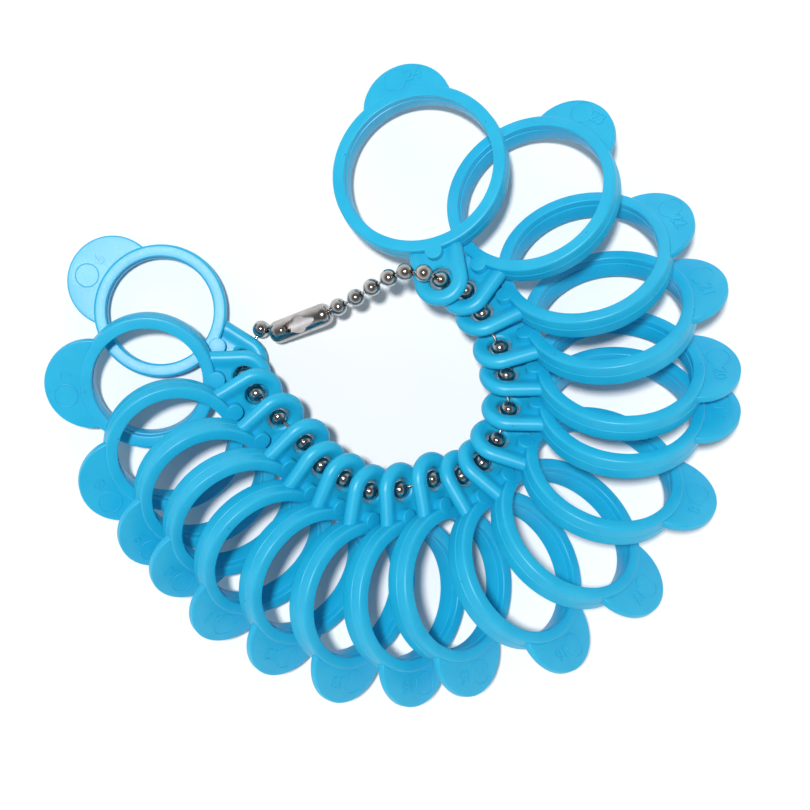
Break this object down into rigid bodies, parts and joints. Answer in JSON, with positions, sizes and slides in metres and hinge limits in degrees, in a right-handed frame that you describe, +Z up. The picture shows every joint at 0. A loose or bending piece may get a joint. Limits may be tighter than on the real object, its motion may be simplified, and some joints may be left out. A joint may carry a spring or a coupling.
{
  "type": "ring sizing gauge set",
  "caption": "Finger-size gauge set: numbered blue plastic ring gauges with finger tabs and lugs, fanned out flat on a snap-closed metal ball chain.",
  "frame": {"origin": "centre of the footprint of the fanned-out set, on the table", "axes": "+X towards the right-hand gauges, across the widest part of the fan; +Y towards the largest gauge; +Z up from the table"},
  "size_m": [0.0948, 0.0879, 0.0188],
  "materials": {
    "blue_plastic": "moulded blue plastic, semi-gloss",
    "chrome_plate": "bright plated ball chain and connector"
  },
  "bodies": {
    "chain": {"threaded_bead_06": "chrome_plate", "threaded_bead_07": "chrome_plate", "threaded_bead_08": "chrome_plate", "threaded_bead_09": "chrome_plate", "threaded_bead_10": "chrome_plate", "threaded_bead_11": "chrome_plate", "threaded_bead_12": "chrome_plate", "threaded_bead_13": "chrome_plate", "threaded_bead_14": "chrome_plate", "threaded_bead_15": "chrome_plate", "threaded_bead_16": "chrome_plate", "threaded_bead_17": "chrome_plate", "threaded_bead_18": "chrome_plate", "threaded_bead_19": "chrome_plate", "threaded_bead_20": "chrome_plate", "threaded_bead_21": "chrome_plate", "threaded_bead_22": "chrome_plate", "threaded_bead_23": "chrome_plate", "threaded_bead_24": "chrome_plate", "free_bead_1": "chrome_plate", "lead_bead": "chrome_plate", "seated_bead_left": "chrome_plate"},
    "gauge_06": {"ring_gauge_06": "blue_plastic"},
    "gauge_07": {"ring_gauge_07": "blue_plastic"},
    "gauge_08": {"ring_gauge_08": "blue_plastic"},
    "gauge_09": {"ring_gauge_09": "blue_plastic"},
    "gauge_10": {"ring_gauge_10": "blue_plastic"},
    "gauge_11": {"ring_gauge_11": "blue_plastic"},
    "gauge_12": {"ring_gauge_12": "blue_plastic"},
    "gauge_13": {"ring_gauge_13": "blue_plastic"},
    "gauge_14": {"ring_gauge_14": "blue_plastic"},
    "gauge_15": {"ring_gauge_15": "blue_plastic"},
    "gauge_16": {"ring_gauge_16": "blue_plastic"},
    "gauge_17": {"ring_gauge_17": "blue_plastic"},
    "gauge_18": {"ring_gauge_18": "blue_plastic"},
    "gauge_19": {"ring_gauge_19": "blue_plastic"},
    "gauge_20": {"ring_gauge_20": "blue_plastic"},
    "gauge_21": {"ring_gauge_21": "blue_plastic"},
    "gauge_22": {"ring_gauge_22": "blue_plastic"},
    "gauge_23": {"ring_gauge_23": "blue_plastic"},
    "gauge_24": {"ring_gauge_24": "blue_plastic"},
    "link_2": {"free_bead_2": "chrome_plate"},
    "link_3": {"free_bead_3": "chrome_plate"},
    "link_4": {"free_bead_4": "chrome_plate"},
    "link_5": {"free_bead_5": "chrome_plate"},
    "link_6": {"free_bead_6": "chrome_plate"},
    "clasp": {"chain_clasp": "chrome_plate", "seated_bead_right": "chrome_plate"}
  },
  "joints": [
    {"name": "gauge_06_swing", "type": "hinge", "parent": "chain", "child": "gauge_06", "pos_m": [-0.0207, 0.00315, 0.00165], "axis": [0, 0, 1], "range_deg": [-20, 12]},
    {"name": "gauge_07_swing", "type": "hinge", "parent": "chain", "child": "gauge_07", "pos_m": [-0.02, 0.00095, 0.00471], "axis": [-0.0071, -0.2761, 0.9611], "range_deg": [-20, 4]},
    {"name": "gauge_08_swing", "type": "hinge", "parent": "chain", "child": "gauge_08", "pos_m": [-0.0183, -0.00135, 0.00673], "axis": [0.2181, -0.4354, 0.8734], "range_deg": [-18, 0]},
    {"name": "gauge_09_swing", "type": "hinge", "parent": "chain", "child": "gauge_09", "pos_m": [-0.0152, -0.00455, 0.0086], "axis": [0.3805, -0.5224, 0.7631], "range_deg": [-20, 0]},
    {"name": "gauge_10_swing", "type": "hinge", "parent": "chain", "child": "gauge_10", "pos_m": [-0.0116, -0.00795, 0.01013], "axis": [0.4391, -0.5609, 0.7018], "range_deg": [-3, 2]},
    {"name": "gauge_11_swing", "type": "hinge", "parent": "chain", "child": "gauge_11", "pos_m": [-0.0093, -0.01105, 0.01059], "axis": [0.5269, -0.5016, 0.6861], "range_deg": [-25, 0]},
    {"name": "gauge_12_swing", "type": "hinge", "parent": "chain", "child": "gauge_12", "pos_m": [-0.00625, -0.01285, 0.01089], "axis": [0.6218, -0.3813, 0.6841], "range_deg": [-25, 0]},
    {"name": "gauge_13_swing", "type": "hinge", "parent": "chain", "child": "gauge_13", "pos_m": [-0.0028, -0.01455, 0.01052], "axis": [0.6954, -0.208, 0.6879], "range_deg": [-25, 0]},
    {"name": "gauge_14_swing", "type": "hinge", "parent": "chain", "child": "gauge_14", "pos_m": [0.0013, -0.01435, 0.01014], "axis": [0.7222, -0.0349, 0.6909], "range_deg": [-25, 0]},
    {"name": "gauge_15_swing", "type": "hinge", "parent": "chain", "child": "gauge_15", "pos_m": [0.0057, -0.01295, 0.01001], "axis": [0.7189, 0.0653, 0.692], "range_deg": [-25, 0]},
    {"name": "gauge_16_swing", "type": "hinge", "parent": "chain", "child": "gauge_16", "pos_m": [0.00965, -0.01255, 0.00936], "axis": [0.6351, 0.3387, 0.6942], "range_deg": [-25, 0]},
    {"name": "gauge_17_swing", "type": "hinge", "parent": "chain", "child": "gauge_17", "pos_m": [0.0124, -0.01075, 0.00949], "axis": [0.481, 0.5355, 0.6942], "range_deg": [-25, 0]},
    {"name": "gauge_18_swing", "type": "hinge", "parent": "chain", "child": "gauge_18", "pos_m": [0.0144, -0.00775, 0.00961], "axis": [0.2453, 0.6766, 0.6942], "range_deg": [-25, 0]},
    {"name": "gauge_19_swing", "type": "hinge", "parent": "chain", "child": "gauge_19", "pos_m": [0.016, -0.00355, 0.00974], "axis": [0.0368, 0.7188, 0.6942], "range_deg": [-25, 0]},
    {"name": "gauge_20_swing", "type": "hinge", "parent": "chain", "child": "gauge_20", "pos_m": [0.0157, 0.00105, 0.00986], "axis": [0.0117, 0.7197, 0.6942], "range_deg": [-25, 0]},
    {"name": "gauge_21_swing", "type": "hinge", "parent": "chain", "child": "gauge_21", "pos_m": [0.0148, 0.00475, 0.01027], "axis": [-0.1633, 0.7015, 0.6937], "range_deg": [-25, 0]},
    {"name": "gauge_22_swing", "type": "hinge", "parent": "chain", "child": "gauge_22", "pos_m": [0.0124, 0.00935, 0.01032], "axis": [-0.2285, 0.6185, 0.7518], "range_deg": [-5, 0]},
    {"name": "gauge_23_swing", "type": "hinge", "parent": "chain", "child": "gauge_23", "pos_m": [0.0102, 0.01245, 0.01132], "axis": [-0.3507, 0.4188, 0.8376], "range_deg": [-12, 5]},
    {"name": "gauge_24_swing", "type": "hinge", "parent": "chain", "child": "gauge_24", "pos_m": [0.0068, 0.01385, 0.01277], "axis": [-0.2601, 0.2775, 0.9249], "range_deg": [-10, 12]},
    {"name": "link_2_swivel", "type": "hinge", "parent": "chain", "child": "link_2", "pos_m": [0.0045, 0.01465, 0.0142], "axis": [0, 0, 1], "range_deg": [-12, 25]},
    {"name": "link_3_swivel", "type": "hinge", "parent": "link_2", "child": "link_3", "pos_m": [0.002, 0.01485, 0.0132], "axis": [0, 0, 1], "range_deg": [-12, 25]},
    {"name": "link_4_swivel", "type": "hinge", "parent": "link_3", "child": "link_4", "pos_m": [-0.0002, 0.01415, 0.0115], "axis": [0, 0, 1], "range_deg": [-12, 25]},
    {"name": "link_5_swivel", "type": "hinge", "parent": "link_4", "child": "link_5", "pos_m": [-0.0025, 0.01295, 0.0097], "axis": [0, 0, 1], "range_deg": [-12, 25]},
    {"name": "link_6_swivel", "type": "hinge", "parent": "link_5", "child": "link_6", "pos_m": [-0.0047, 0.01165, 0.0078], "axis": [0, 0, 1], "range_deg": [-12, 25]},
    {"name": "clasp_swivel", "type": "hinge", "parent": "chain", "child": "clasp", "pos_m": [-0.01505, 0.0073, 0.0025], "axis": [0, 0, 1], "range_deg": [-15, 13]}
  ]
}
